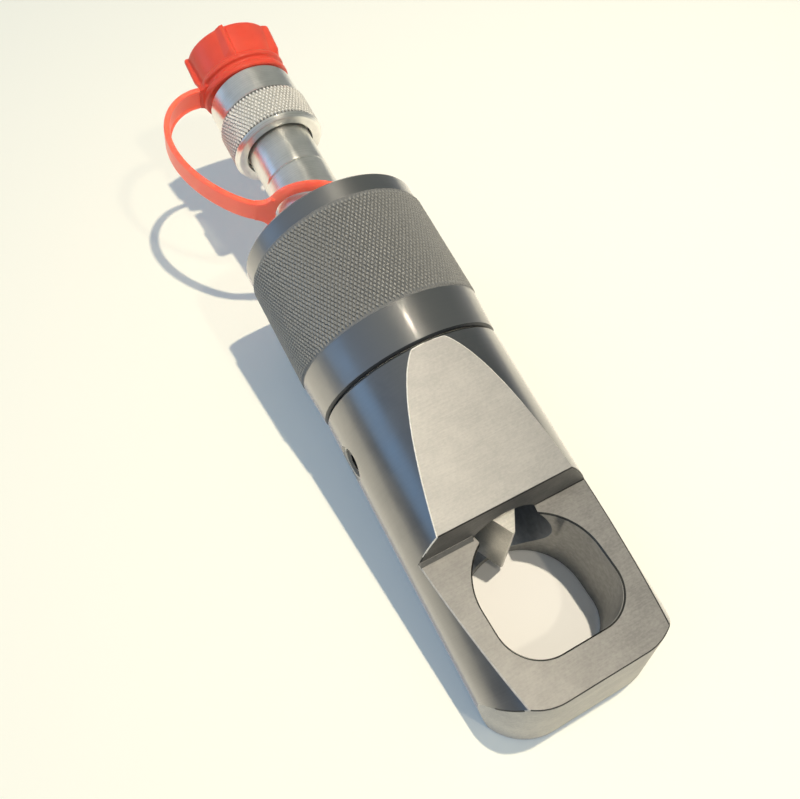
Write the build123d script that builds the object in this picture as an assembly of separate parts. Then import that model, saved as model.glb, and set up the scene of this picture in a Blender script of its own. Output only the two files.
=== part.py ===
from build123d import *
from math import cos, radians, sin, tan
import os

# Hydraulic nut splitter. Every piece is drawn in the tool's own frame and moved once, at the end.
# Tool frame, in millimetres: X along the ram axis towards the jaw, X = 0 where head and cylinder
# meet, Z towards the marking flat, the ram axis on Y = Z = 0.
# Part frame: the jaw's working face lies on Z = 0, X runs towards the jaw's tip.

# Head
head_r = 32.0
head_rear_chamfer = 1.2
spigot_r = 27.4
spigot_len = 10.0
jaw_tilt = 11.9
jaw_thickness = 30.5
step_x = 56.7
step_z = 10.7
step_run = 3.6
step_rise = 10.6
flat_slope = 11.1
jaw_reach = 53.1
front_lean = 4.7
corner_r = 18.5
edge_break = 0.5

# Nut opening, measured on the jaw face from the step's foot
opening_half_w = 20.7
opening_near = 0.1
opening_far = 41.6
opening_corner_r = 13.5

# Head bores
chisel_bore_r = 15.4
spring_pocket_r = 20.8
spring_pocket_floor = 9.0
screw_x = 17.3
screw_thread_r = 5.0
screw_spot_r = 6.3
screw_spot_depth = 0.9

# Cylinder
cylinder_len = 62.2
knurl_r = 33.5
top_band_r = 32.8
top_band_len = 7.7
top_chamfer = 1.0
heel_r = 33.1
rim_r = 32.25
heel_len = 14.3
rim_chamfer = 0.8
cylinder_bore_r = 26.0
end_wall = 12.0

# Ram
front_stop = 0.4
piston_len = 15.3
piston_clearance = 0.1
piston_rear_gap = 0.5
piston_land = 2.0
wear_ring_w = 3.0
seal_w = 4.2
backup_w = 1.6
seal_groove_r = 22.5
wear_groove_r = 24.3
chisel_clearance = 0.08
chisel_seat_r = 11.8
chisel_seat_depth = 2.0
chisel_edge_gap = 5.1
wedge_half_angle = 30.0
edge_land = 0.8
chisel_flat_z = 13.0
chisel_flat_x = 55.2
keyway_w = 6.4
keyway_depth = 3.1
keyway_margin = 3.4
dog_r = 2.9
dog_gap = 0.3
bolt_r = 5.0
bolt_head_r = 8.0
bolt_head_len = 6.0
bolt_reach = 16.0
bolt_sink = 0.6
bolt_seal_r = 7.2
bolt_seal_t = 1.0

# Return spring
spring_r = 18.2
spring_wire = 3.2
spring_turns = 5.5
wire_sides = 8
washer_t = 1.5

# Stem and coupler
stem_r = 12.3
stem_len = 26.5
stem_flange_r = 12.9
stem_flange_t = 2.0
stem_thread_r = 9.0
stem_thread_len = 7.8
stem_bore_r = 3.4
port_r = 2.5
gasket_t = 1.2
socket_r = 8.8
socket_tail = 6.0
tail_land = 1.6
tail_groove_w = 2.0
tail_groove_depth = 1.6
coupler_len = 23.9
nose_r = 11.4
nose_len = 3.4
seat_r = 5.4
snap_gap = 0.3
snap_t = 1.4
snap_r = 14.0
snap_w = 2.6

# Collar
collar_gap = 14.7
collar_len = 25.7
collar_knurl_r = 17.5
collar_band_r = 16.6
collar_band_len = 9.9
collar_thread_r = 14.3
collar_thread_len = 15.2
collar_lip_r = 13.2
collar_lip_len = 2.8

# Valve
poppet_r = 7.8
poppet_guide_r = 2.6
poppet_travel = 3.0
poppet_gap = 0.6
poppet_head_len = 4.3
poppet_ring_x = 1.5
poppet_ring_r = 0.8
valve_wire = 1.1
valve_spring_r = 5.6
valve_turns = 4.5

# Dust cap, strap and strap ring
cap_tilt = 12.0
cap_skirt_r = 17.1
cap_skirt_len = 6.6
cap_body_r = 16.0
cap_top_r = 16.7
cap_height = 18.4
cap_plug_r = 13.7
cap_plug_end_r = 12.2
cap_plug_len = 8.0
cap_wall = 2.2
cap_rib_w = 3.6
cap_rib_r = 18.3
cap_ribs = 5
cap_seat_gap = 0.2
strap_angle = 176.0
strap_w = 9.0
strap_t = 2.2
strap_ear_r = 19.3
strap_bow = 37.3
strap_lead = 8.7
ring_in_r = 15.2
ring_out_r = 18.8
ring_t = 2.4
ring_lean = 26.5
ring_rest = 0.15
tab_len = 4.0

fit = 0.05

# Places that follow from the sizes above
lean = radians(jaw_tilt)
jaw_dir = Vector(cos(lean), 0, sin(lean))
up_dir = Vector(-sin(lean), 0, cos(lean))
jaw_foot = Vector(step_x, 0, step_z)
jaw_plane = Plane(origin=jaw_foot, x_dir=jaw_dir, z_dir=up_dir)
origin_back = 20.0
part_origin = jaw_foot - jaw_dir * origin_back - up_dir * jaw_thickness
to_part = Rot(0, jaw_tilt, 0) * Pos(-part_origin)

chamber_x = -cylinder_len + end_wall
piston_rear = chamber_x + piston_rear_gap
piston_front = piston_rear + piston_len
ram_stroke = -spigot_len - front_stop - piston_front
piston_r = cylinder_bore_r - piston_clearance
wear_x = piston_front - piston_land - wear_ring_w
seal_x = wear_x - piston_land - seal_w - backup_w
bolt_seat = piston_rear + bolt_head_len + bolt_sink
shank_r = chisel_bore_r - chisel_clearance
keyway_floor = shank_r - keyway_depth
stem_top = -cylinder_len - stem_len
coupler_top = stem_top - coupler_len
seat_x = coupler_top + nose_len
poppet_cone = seat_x + poppet_gap
poppet_back = poppet_cone + poppet_head_len
collar_low = stem_top - collar_gap
collar_top = collar_low - collar_len
snap_x = collar_low - collar_lip_len - snap_gap
cap_lean = radians(cap_tilt)
cap_x = collar_top - cap_seat_gap - collar_band_r * sin(cap_lean)
ear_x = cap_x - cap_skirt_len / 2 + cap_skirt_r * sin(radians(strap_angle)) * sin(cap_lean)
ring_turn = radians(ring_lean)
ring_x = -cylinder_len - ring_rest - ring_out_r * sin(ring_turn) - ring_t / 2 * cos(ring_turn)


def turned(*outline):
    """A solid of revolution about the ram axis from (x, r) points."""
    return revolve(make_face(Polyline(*outline, close=True)), Axis.X)


def rod(x0, x1, r):
    """A plain cylinder on the ram axis."""
    return turned((x0, 0), (x0, r), (x1, r), (x1, 0))


def tube(x0, x1, r_in, r_out):
    """A plain ring on the ram axis."""
    return turned((x0, r_in), (x0, r_out), (x1, r_out), (x1, r_in))


def jaw_point(along, depth):
    """Tool-frame (x, z) of a point on the head's middle plane, seen from the step's foot."""
    p = jaw_foot + jaw_dir * along - up_dir * depth
    return (p.X, p.Z)


def side_profile():
    """Side view of the head: marking flat, step, jaw face, leaning front and working face."""
    back = -spigot_len - 2
    flat_end = (step_x - step_run, step_z + step_rise)
    flat_back = (back, flat_end[1] + (flat_end[0] - back) * tan(radians(flat_slope)))
    front_low = jaw_reach + jaw_thickness * tan(radians(front_lean))
    drop = (step_x - back) / cos(lean)
    outline = [
        flat_back,
        flat_end,
        (step_x, step_z),
        jaw_point(jaw_reach, 0),
        jaw_point(front_low, jaw_thickness),
        jaw_point(-drop, jaw_thickness),
    ]
    face = Plane.XZ * make_face(Polyline(*outline, close=True))
    return extrude(face, amount=2 * head_r, both=True)


def plan_profile():
    """Plan view of the head with its two round corners, leaning with the front face."""
    half_w = head_r + 0.3
    length = 200.0
    outline = Pos(jaw_reach - length / 2, 0) * RectangleRounded(length, 2 * half_w, corner_r)
    slant = up_dir * -1 + jaw_dir * tan(radians(front_lean))
    below = extrude(jaw_plane * outline, amount=2 * jaw_thickness, dir=slant.normalized())
    above = extrude(jaw_plane * outline, amount=2 * head_r, dir=up_dir)
    return below + above


def opening_sketch(grow=0.0):
    """The nut opening: half round towards the chisel, squared with round corners at the anvil."""
    half_w = opening_half_w + grow
    near = opening_near - grow
    far = opening_far + grow
    round_end = Pos(near + half_w, 0) * Circle(half_w)
    start = near + half_w - opening_corner_r
    square_end = Pos((start + far) / 2, 0) * RectangleRounded(far - start, 2 * half_w, opening_corner_r)
    return round_end + square_end


def opening_cut():
    through = jaw_plane * Pos(0, 0, -jaw_thickness - 1) * opening_sketch()
    cut = extrude(through, amount=jaw_thickness + 2, dir=up_dir)
    for depth, way in ((0, -1), (jaw_thickness, 1)):
        mouth = jaw_plane * Pos(0, 0, -depth) * opening_sketch(edge_break)
        cut += extrude(mouth, amount=edge_break, dir=up_dir * way, taper=45)
    return cut


def head():
    root = spigot_r - 0.8
    blank = turned(
        (-spigot_len, 0),
        (-spigot_len, root),
        (-spigot_len + 0.8, spigot_r),
        (-1.6, spigot_r),
        (-1.6, root),
        (0, root),
        (0, head_r - head_rear_chamfer),
        (head_rear_chamfer, head_r),
        (step_x + 2 * jaw_reach, head_r),
        (step_x + 2 * jaw_reach, 0),
    )
    solid = blank & side_profile() & plan_profile()
    solid -= opening_cut()
    solid -= rod(-spigot_len - 1, step_x + opening_half_w * 0.65, chisel_bore_r)
    solid -= rod(-spigot_len - 1, spring_pocket_floor, spring_pocket_r)
    hole = Pos(screw_x, -head_r, 0) * Rot(90, 0, 0) * Cylinder(screw_thread_r, 2 * (head_r - 8))
    spot_h = 2 * screw_spot_depth
    spot = Pos(screw_x, -head_r, 0) * Rot(90, 0, 0) * Cylinder(screw_spot_r, spot_h)
    return solid - hole - spot


def cylinder():
    top = -cylinder_len
    knurl_top = top + top_band_len
    outer = [
        (top, top_band_r - top_chamfer),
        (top + top_chamfer, top_band_r),
        (knurl_top - 0.7, top_band_r),
        (knurl_top, knurl_r),
        (-heel_len - 0.6, knurl_r),
        (-heel_len, heel_r),
        (-rim_chamfer, rim_r),
        (0, rim_r - rim_chamfer),
    ]
    inner = [
        (0, spigot_r + fit),
        (-spigot_len - 0.3, spigot_r + fit),
        (-spigot_len - 0.3, cylinder_bore_r),
        (chamber_x, cylinder_bore_r),
        (chamber_x, port_r),
        (top + gasket_t + stem_thread_len + 0.4, port_r),
        (top + gasket_t + stem_thread_len + 0.4, stem_thread_r + fit),
        (top + gasket_t, stem_thread_r + fit),
        (top + gasket_t, stem_flange_r + 0.3),
        (top, stem_flange_r + 0.3),
    ]
    return turned(*outer, *inner)


def piston():
    seat = chisel_seat_r + fit
    recess = bolt_head_r + 0.4
    return turned(
        (piston_rear, recess),
        (piston_rear, piston_r - 0.6),
        (piston_rear + 0.6, piston_r),
        (seal_x, piston_r),
        (seal_x, seal_groove_r),
        (seal_x + seal_w + backup_w, seal_groove_r),
        (seal_x + seal_w + backup_w, piston_r),
        (wear_x, piston_r),
        (wear_x, wear_groove_r),
        (wear_x + wear_ring_w, wear_groove_r),
        (wear_x + wear_ring_w, piston_r),
        (piston_front - 0.5, piston_r),
        (piston_front, piston_r - 0.5),
        (piston_front, seat),
        (piston_front - chisel_seat_depth, seat),
        (piston_front - chisel_seat_depth, bolt_r + fit),
        (bolt_seat + bolt_seal_t, bolt_r + fit),
        (bolt_seat + bolt_seal_t, bolt_seal_r + fit),
        (bolt_seat, bolt_seal_r + fit),
        (bolt_seat, recess),
    )


def packing(x0, width, groove_r, lip=0.0):
    """A ring in a piston groove, reaching almost to the cylinder's bore."""
    r_in = groove_r + fit
    r_out = cylinder_bore_r - fit
    return turned(
        (x0 + fit, r_in),
        (x0 + fit, r_out),
        (x0 + width / 2, r_out - lip),
        (x0 + width - fit, r_out),
        (x0 + width - fit, r_in),
    )


def chisel():
    back = piston_front - chisel_seat_depth
    far = step_x + opening_half_w
    shank = turned(
        (back, 0),
        (back, chisel_seat_r),
        (piston_front, chisel_seat_r),
        (piston_front, shank_r - 0.6),
        (piston_front + 0.6, shank_r),
        (far, shank_r),
        (far, 0),
    )
    slope = tan(radians(wedge_half_angle))
    long = 140.0
    nose = chisel_edge_gap
    plan = Polyline(
        (nose, edge_land / 2),
        (nose, -edge_land / 2),
        (nose - long, -edge_land / 2 - long * slope),
        (nose - long, edge_land / 2 + long * slope),
        close=True,
    )
    wedge = extrude(jaw_plane * make_face(plan), amount=3 * head_r, both=True)
    solid = shank & wedge
    flat = Pos((chisel_flat_x + far) / 2, 0, chisel_flat_z + head_r / 2)
    solid -= flat * Box(far - chisel_flat_x, 2 * head_r, head_r)
    slot_start = screw_x - ram_stroke - keyway_margin
    slot_len = ram_stroke + 2 * keyway_margin
    slot_mid = slot_start + slot_len / 2
    slot = Pos(slot_mid, -shank_r, 0) * Rot(90, 0, 0) * extrude(
        SlotOverall(slot_len, keyway_w), amount=keyway_depth, both=True
    )
    solid -= slot
    tapped = rod(back - 1, piston_front + bolt_reach + 1.0, bolt_r + fit)
    return solid - tapped


def hexagon(across_flats, x0, x1):
    """A hexagon socket on the ram axis."""
    sketch = Plane.YZ.offset(x0) * RegularPolygon(across_flats / 2, 6, major_radius=False)
    return extrude(sketch, amount=x1 - x0)


def chisel_bolt():
    start = bolt_seat - bolt_head_len
    end = piston_front + bolt_reach
    body = turned(
        (start, 0),
        (start, bolt_head_r - 0.5),
        (start + 0.5, bolt_head_r),
        (bolt_seat, bolt_head_r),
        (bolt_seat, bolt_r),
        (end - 0.8, bolt_r),
        (end, bolt_r - 0.8),
        (end, 0),
    )
    return body - hexagon(8.0, start - 1, start + 4.0)


def bolt_seal():
    """Flat sealing ring let into the piston under the bolt's head."""
    return tube(bolt_seat, bolt_seat + bolt_seal_t, bolt_r + 2 * fit, bolt_seal_r)


def set_screw():
    """Dog point screw whose tip rides in the chisel's keyway."""
    outer = head_r - screw_spot_depth - 0.6
    thread_end = chisel_bore_r + 1.2
    tip = keyway_floor + dog_gap
    face = Polyline(
        (0, outer),
        (screw_thread_r - fit - 0.5, outer),
        (screw_thread_r - fit, outer - 0.5),
        (screw_thread_r - fit, thread_end + 0.6),
        (screw_thread_r - fit - 0.6, thread_end),
        (dog_r, thread_end),
        (dog_r, tip),
        (0, tip),
        close=True,
    )
    body = revolve(make_face(face), Axis.Y)
    socket = Pos(0, outer + 1, 0) * Rot(90, 0, 0) * extrude(
        RegularPolygon(2.5, 6, major_radius=False), amount=6.5
    )
    return Pos(screw_x, 0, 0) * Rot(0, 0, 180) * (body - socket)


def coil(x0, x1, mean_r, wire, turns):
    """Compression spring on the ram axis between two flat seats."""
    rise = x1 - x0 - wire - 2 * fit
    path = Helix(pitch=rise / turns, height=rise, radius=mean_r)
    section = Plane(origin=path @ 0, z_dir=path % 0) * RegularPolygon(wire / 2, wire_sides)
    return Pos(x0 + wire / 2 + fit, 0, 0) * Rot(0, 90, 0) * sweep(section, path=path)


def return_spring():
    return coil(piston_front + fit, spring_pocket_floor - washer_t - fit, spring_r, spring_wire, spring_turns)


def spring_washer():
    floor = spring_pocket_floor
    return tube(floor - washer_t, floor, shank_r + 0.5, spring_pocket_r - 0.3)


def stem():
    low = -cylinder_len
    tail = low + gasket_t + stem_thread_len
    tail_r = socket_r - fit
    groove_r = socket_r - tail_groove_depth
    return turned(
        (tail, stem_bore_r),
        (tail, stem_thread_r - 0.8),
        (tail - 0.8, stem_thread_r),
        (low, stem_thread_r),
        (low, stem_flange_r - 0.4),
        (low - 0.4, stem_flange_r),
        (low - stem_flange_t, stem_flange_r),
        (low - stem_flange_t - (stem_flange_r - stem_r), stem_r),
        (stem_top + 0.5, stem_r),
        (stem_top, stem_r - 0.5),
        (stem_top, tail_r),
        (stem_top - tail_land, tail_r),
        (stem_top - tail_land, groove_r),
        (stem_top - tail_land - tail_groove_w, groove_r),
        (stem_top - tail_land - tail_groove_w, tail_r),
        (stem_top - socket_tail, tail_r),
        (stem_top - socket_tail, stem_bore_r),
    )


def ring_of(x, mean_r, section_r):
    """A round-section ring on the ram axis."""
    return Pos(x, 0, 0) * Rot(0, 90, 0) * Torus(mean_r, section_r)


def stem_oring():
    section_r = tail_groove_depth / 2 - fit
    mean_r = socket_r - tail_groove_depth / 2
    return ring_of(stem_top - tail_land - tail_groove_w / 2, mean_r, section_r)


def stem_gasket():
    low = -cylinder_len
    return tube(low, low + gasket_t, stem_thread_r + 0.3, stem_flange_r)


def coupler_body():
    groove_r = snap_r - snap_w - 0.1
    return turned(
        (stem_top, socket_r),
        (stem_top, stem_r - 0.5),
        (stem_top - 0.5, stem_r),
        (snap_x, stem_r),
        (snap_x, groove_r),
        (snap_x - snap_t - 0.2, groove_r),
        (snap_x - snap_t - 0.2, stem_r),
        (seat_x + 0.4, stem_r),
        (seat_x - 0.5, nose_r),
        (coupler_top + 0.4, nose_r),
        (coupler_top, nose_r - 0.4),
        (coupler_top, seat_r),
        (seat_x, seat_r),
        (seat_x + 1.9, socket_r),
    )


def collar_ring():
    """Open snap ring that holds the collar on the coupler body."""
    ring = tube(snap_x - snap_t - 0.1, snap_x - 0.1, snap_r - snap_w, snap_r)
    return ring - Pos(snap_x, 0, snap_r) * Box(4 * snap_t, 4.0, 8.0)


def collar():
    knurl_end = collar_top + collar_band_len
    thread_end = collar_top + 0.8 + collar_thread_len
    cavity_r = collar_thread_r + 0.6
    return turned(
        (collar_low, collar_lip_r),
        (collar_low, collar_knurl_r - 1.2),
        (collar_low - 1.2, collar_knurl_r),
        (knurl_end + 0.9, collar_knurl_r),
        (knurl_end, collar_band_r),
        (collar_top + 0.5, collar_band_r),
        (collar_top, collar_band_r - 0.5),
        (collar_top, collar_thread_r + 0.8),
        (collar_top + 0.8, collar_thread_r),
        (thread_end, collar_thread_r),
        (thread_end + 0.6, cavity_r),
        (collar_low - collar_lip_len, cavity_r),
        (collar_low - collar_lip_len, collar_lip_r),
    )


def poppet():
    """Valve poppet: rear guide, sealing head with its ring groove, nose that the mating half pushes."""
    guide_end = stem_top - socket_tail - poppet_travel - 0.4
    body = turned(
        (guide_end, 0),
        (guide_end, poppet_guide_r),
        (poppet_back, poppet_guide_r),
        (poppet_back, poppet_r),
        (poppet_cone + 2.2, poppet_r),
        (poppet_cone, seat_r - 0.6),
        (poppet_cone - 0.4, seat_r - 1.0),
        (coupler_top + 0.6, seat_r - 1.0),
        (coupler_top + 0.2, seat_r - 1.4),
        (coupler_top + 0.2, 0),
    )
    return body - ring_of(poppet_cone + poppet_ring_x, poppet_r - poppet_ring_r, poppet_ring_r + 0.02)


def poppet_seal():
    return ring_of(poppet_cone + poppet_ring_x, poppet_r - poppet_ring_r, poppet_ring_r)


def poppet_spring():
    return coil(poppet_back + fit, stem_top - socket_tail - fit, valve_spring_r, valve_wire, valve_turns)


def dust_cap():
    """Push-in cap, drawn square and then cocked on the collar: skirt, grip ribs, hollow tapered plug."""
    top = -cap_height
    shoulder = -cap_skirt_len
    body = turned(
        (top, 0),
        (top, cap_top_r - 1.2),
        (top + 0.35, cap_top_r - 0.35),
        (top + 1.2, cap_top_r),
        (shoulder, cap_body_r),
        (shoulder + 0.6, cap_skirt_r - 0.3),
        (shoulder + 1.2, cap_skirt_r),
        (-0.4, cap_skirt_r),
        (0, cap_skirt_r - 0.4),
        (0, cap_plug_r),
        (cap_plug_len - 0.8, cap_plug_end_r),
        (cap_plug_len, cap_plug_end_r - 0.8),
        (cap_plug_len, cap_plug_end_r - cap_wall),
        (-1.0, cap_plug_r - cap_wall),
        (-1.0, 0),
    )
    rib_in = cap_body_r - 1.0
    rib_top = top + 0.3
    rib = extrude(
        Plane.XY * make_face(
            Polyline(
                (rib_top, rib_in),
                (rib_top, cap_rib_r - 0.6),
                (rib_top + 0.7, cap_rib_r),
                (shoulder - 2.0, cap_rib_r),
                (shoulder + 0.6, cap_skirt_r - 0.4),
                (shoulder + 0.6, rib_in),
                close=True,
            )
        ),
        amount=cap_rib_w / 2,
        both=True,
    )
    for i in range(cap_ribs):
        body += Rot(strap_angle + 360 / cap_ribs * i, 0, 0) * rib
    body = Pos(cap_x, 0, 0) * Rot(0, cap_tilt, 0) * body
    ear_in = cap_body_r + 0.2
    ear_len = strap_ear_r - ear_in
    ear = Pos(ear_x, ear_in + ear_len / 2, 0) * Box(strap_t, ear_len, strap_w)
    return body + Rot(strap_angle, 0, 0) * ear


def strap_ring():
    """Ring round the stem's foot: its far edge rests on the cylinder, its near edge is pulled up."""
    flat = tube(-ring_t / 2, ring_t / 2, ring_in_r, ring_out_r)
    tab = Pos(0, ring_out_r + tab_len / 2 - 0.6, 0) * Box(ring_t, tab_len, strap_w)
    place = Pos(ring_x, 0, 0) * Rot(strap_angle, 0, 0) * Rot(0, 0, ring_lean)
    return place * (flat + tab)


def strap_end():
    """(x, r) of the outer end of the strap ring's tab, in the plane of the strap."""
    reach = ring_out_r + tab_len - 0.6
    return (ring_x - reach * sin(ring_turn), reach * cos(ring_turn))


def strap():
    """Moulded strap between cap and ring: a flat band that bows away from the coupler."""
    x0, r0 = ear_x, strap_ear_r + fit
    x1, r1 = strap_end()
    span = x1 - x0
    rise = strap_bow - r0
    lead = strap_lead * sin(ring_turn), strap_lead * cos(ring_turn)
    path = Bezier(
        (x0, r0),
        (x0, r0 + 0.485 * rise),
        (x0 + 0.116 * span, r0 + 1.075 * rise),
        (x0 + 0.44 * span, r0 + 1.634 * rise),
        (x1 - lead[0], r1 + lead[1]),
        (x1, r1),
    )
    band = extrude(trace(path, line_width=strap_t), amount=strap_w / 2, both=True)
    return Rot(strap_angle, 0, 0) * band


pieces = {
    "head": head(),
    "cylinder": cylinder(),
    "piston": piston(),
    "wear_ring": packing(wear_x, wear_ring_w, wear_groove_r),
    "piston_seal": packing(seal_x + backup_w, seal_w, seal_groove_r, 0.8),
    "backup_ring": packing(seal_x, backup_w, seal_groove_r),
    "chisel": chisel(),
    "chisel_bolt": chisel_bolt(),
    "bolt_seal": bolt_seal(),
    "set_screw": set_screw(),
    "return_spring": return_spring(),
    "spring_washer": spring_washer(),
    "stem": stem(),
    "stem_oring": stem_oring(),
    "stem_gasket": stem_gasket(),
    "coupler_body": coupler_body(),
    "collar": collar(),
    "collar_ring": collar_ring(),
    "poppet": poppet(),
    "poppet_seal": poppet_seal(),
    "poppet_spring": poppet_spring(),
    "dust_cap": dust_cap(),
    "strap": strap(),
    "strap_ring": strap_ring(),
}

os.makedirs("parts", exist_ok=True)
for name, solid in pieces.items():
    export_step(to_part * solid, f"parts/{name}.step")
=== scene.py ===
import bpy
import bmesh
from math import atan2, cos, hypot, pi, radians, sin, sqrt
from mathutils import Matrix, Vector


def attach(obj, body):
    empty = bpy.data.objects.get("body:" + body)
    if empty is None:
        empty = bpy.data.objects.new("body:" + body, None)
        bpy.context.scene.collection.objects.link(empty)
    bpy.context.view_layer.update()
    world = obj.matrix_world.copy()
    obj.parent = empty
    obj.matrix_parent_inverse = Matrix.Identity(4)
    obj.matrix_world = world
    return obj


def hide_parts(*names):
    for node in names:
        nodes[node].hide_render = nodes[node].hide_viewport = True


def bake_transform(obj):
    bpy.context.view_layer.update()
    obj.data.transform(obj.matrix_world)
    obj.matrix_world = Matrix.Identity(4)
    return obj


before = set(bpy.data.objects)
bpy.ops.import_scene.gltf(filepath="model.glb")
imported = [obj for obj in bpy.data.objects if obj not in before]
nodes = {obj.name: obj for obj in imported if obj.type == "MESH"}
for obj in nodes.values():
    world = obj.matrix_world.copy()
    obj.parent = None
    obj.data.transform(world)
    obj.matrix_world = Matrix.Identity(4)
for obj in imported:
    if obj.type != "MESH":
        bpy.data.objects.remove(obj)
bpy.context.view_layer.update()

# The tool's own frame is in millimetres: X along the ram axis towards the jaw, X = 0 where head and
# cylinder meet, Z towards the inclined flat. The part frame is in metres, with the jaw's working face
# on Z = 0 and its origin on that face, behind the foot of the step.
MM = 0.001
JAW_TILT = radians(11.9)
JAW_THICKNESS = 30.5
STEP_X = 56.7
STEP_Z = 10.7
ORIGIN_BACK = 20.0
JAW_WAY = Vector((cos(JAW_TILT), 0.0, sin(JAW_TILT)))
JAW_UP = Vector((-sin(JAW_TILT), 0.0, cos(JAW_TILT)))
PART_ORIGIN = Vector((STEP_X, 0.0, STEP_Z)) - ORIGIN_BACK * JAW_WAY - JAW_THICKNESS * JAW_UP
TOOL = Matrix.Scale(MM, 4) @ Matrix.Rotation(JAW_TILT, 4, "Y") @ Matrix.Translation(-PART_ORIGIN)
TO_TOOL = TOOL.inverted()
RAM_WAY = (cos(JAW_TILT), 0.0, -sin(JAW_TILT))

# How near the corners of a solid's loose facets lie to be one corner, in metres
MERGE = 0.000002

# Head, in millimetres in the tool's frame
HEAD_R = 32.0
HEAD_FRONT = 70.0
SPRING_POCKET_R = 20.8
SCREW_X = 17.3
SCREW_SPOT_R = 6.3
SCREW_SIDE = -24.0
JOINT_EDGE_R = 28.5

# Jaw in the part frame, in metres: its upper face, and the nut's opening with its broken edge
JAW_TOP = MM * JAW_THICKNESS
OPENING_FROM = 0.0185
OPENING_TO = 0.0632
OPENING_SIDE = 0.0217

# Worn edges of the head: their width in metres, and the least angle of an edge that wears
WORN_WIDTH = 0.0004
WORN_ANGLE = radians(28)

# How far the painted highlight on the inclined flat's edges reaches on its left and right, and where the
# jaw's left side, whose edges get a paler painted highlight, lies and runs, all in metres
FLAT_END_LEFT = 0.0193
FLAT_END_RIGHT = -0.006
JAW_SIDE = -0.0236
JAW_SIDE_FROM = 0.0212
JAW_SIDE_TO = 0.070

# Bead with a painted highlight on the long edges of the inclined flat, in metres: its thickness on the left,
# and on the right, where it thins out over the last stretch before its end
BEAD_LEFT = 0.00022
BEAD_RIGHT = 0.00012
BEAD_RIGHT_END = 0.0
BEAD_FADE = 0.01
BEAD_SIDES = 6

# Sloped strip at the step's foot, as (x, z, y at the flank), and its end at the bore, in metres
FOOT_STRIP = (
    (0.0195, 0.03165, -0.02975),
    (0.02003, 0.03165, -0.02975),
    (0.0212, 0.03062, -0.03005),
    (0.0212, 0.0303, -0.0301),
    (0.0195, 0.0303, -0.0301),
)
FOOT_STRIP_END = -0.0117

# Cylinder, in millimetres from the joint with the head
CYLINDER_TOP = -62.2
TOP_BAND_R = 32.8
TOP_CHAMFER = 1.0
KNURL_R = 33.5
KNURL_VALLEY_R = 33.02
KNURL_FROM = CYLINDER_TOP + 7.7
KNURL_TO = -15.0
HEEL_AT = -14.3
HEEL_R = 33.1
RIM_R = 32.25
RIM_CHAMFER = 0.8
SPIGOT_HOLE_R = 27.45
SPIGOT_HOLE_END = -10.3
CYLINDER_BORE_R = 26.0
CYLINDER_BORE_END = CYLINDER_TOP + 12.0
PORT_R = 2.5
STEM_HOLE_R = 9.05
STEM_HOLE_END = CYLINDER_TOP + 9.4
GASKET_SEAT_R = 13.2
GASKET_T = 1.2

# Knurl diamonds: half their length along the axis, how many stand round each piece, and the share of
# a diamond that its flat crest takes
DIAMOND_STEP = 1.19
CYLINDER_AROUND = 147
COLLAR_AROUND = 77
CREST_SHARE = 0.52

# Stem
STEM_R = 12.3
STEM_FLANGE_R = 12.9
STEM_FLANGE_T = 2.0
STEM_THREAD_R = 9.0
STEM_THREAD_LEN = 7.8
STEM_BORE_R = 3.4
STEM_TOP = CYLINDER_TOP - 26.5
TAIL_R = 8.75
TAIL_LEN = 6.0
TAIL_LAND = 1.6
TAIL_GROOVE_R = 7.2
TAIL_GROOVE_W = 2.0

# Coupler body
COUPLER_TOP = STEM_TOP - 23.9
SOCKET_R = 8.8
NOSE_R = 11.4
SEAT_R = 5.4
SEAT_X = COUPLER_TOP + 3.4
SEAT_SLOPE = 1.9
SNAP_GROOVE_R = 11.3
SNAP_GROOVE_W = 1.6

# Collar
COLLAR_LOW = STEM_TOP - 14.7
COLLAR_TOP = COLLAR_LOW - 25.7
COLLAR_R = 17.5
COLLAR_VALLEY_R = 17.06
COLLAR_BAND_R = 16.6
COLLAR_BAND_AT = COLLAR_TOP + 9.9
COLLAR_EDGE = 1.2
COLLAR_LIP_R = 13.2
COLLAR_LIP_LEN = 2.8
COLLAR_THREAD_R = 14.3
COLLAR_THREAD_LEN = 15.2
COLLAR_HOLLOW_R = 14.9

# Dust cap, cocked on the collar's mouth
CAP_TILT = radians(12.0)
CAP_SEAT_GAP = 0.2
CAP_X = COLLAR_TOP - CAP_SEAT_GAP - COLLAR_BAND_R * sin(CAP_TILT)
CAP_HEIGHT = 18.4
CAP_SKIRT_R = 17.1
CAP_SKIRT_LEN = 6.6
CAP_BEAD_DEPTH = 1.3
CAP_BODY_R = 16.0
CAP_TOP_R = 16.7
CAP_RIB_R = 17.95
CAP_RIB_W = 3.6
CAP_RIB_SLOPE = 3.6
CAP_RIBS = 5
CAP_PLUG_R = 13.7
CAP_PLUG_END_R = 12.2
CAP_PLUG_LEN = 8.0
CAP_WALL = 2.2

# Strap and its ring, which leans on the cylinder and round the stem's foot
STRAP_ANGLE = radians(176.0)
STRAP_W = 9.0
STRAP_T = 2.2
STRAP_BOW = 37.3
STRAP_LEAD = 8.7
STRAP_RIM_W = 1.1
STRAP_HOLLOW = 0.65
STRAP_STEPS = 72
EAR_X = CAP_X - CAP_SKIRT_LEN / 2 + CAP_SKIRT_R * sin(STRAP_ANGLE) * sin(CAP_TILT)
EAR_R = 19.3
EAR_FILLET_R = 2.6
RING_LEAN = radians(26.5)
RING_IN_R = 15.2
RING_OUT_R = 18.8
RING_T = 2.4
RING_REST = 0.15
RING_REACH = 22.2
RING_FILLET_R = 6.0
RING_X = CYLINDER_TOP - RING_REST - RING_OUT_R * sin(RING_LEAN) - RING_T / 2 * cos(RING_LEAN)
STRAP_END = (RING_X - RING_REACH * sin(RING_LEAN), RING_REACH * cos(RING_LEAN))
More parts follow.
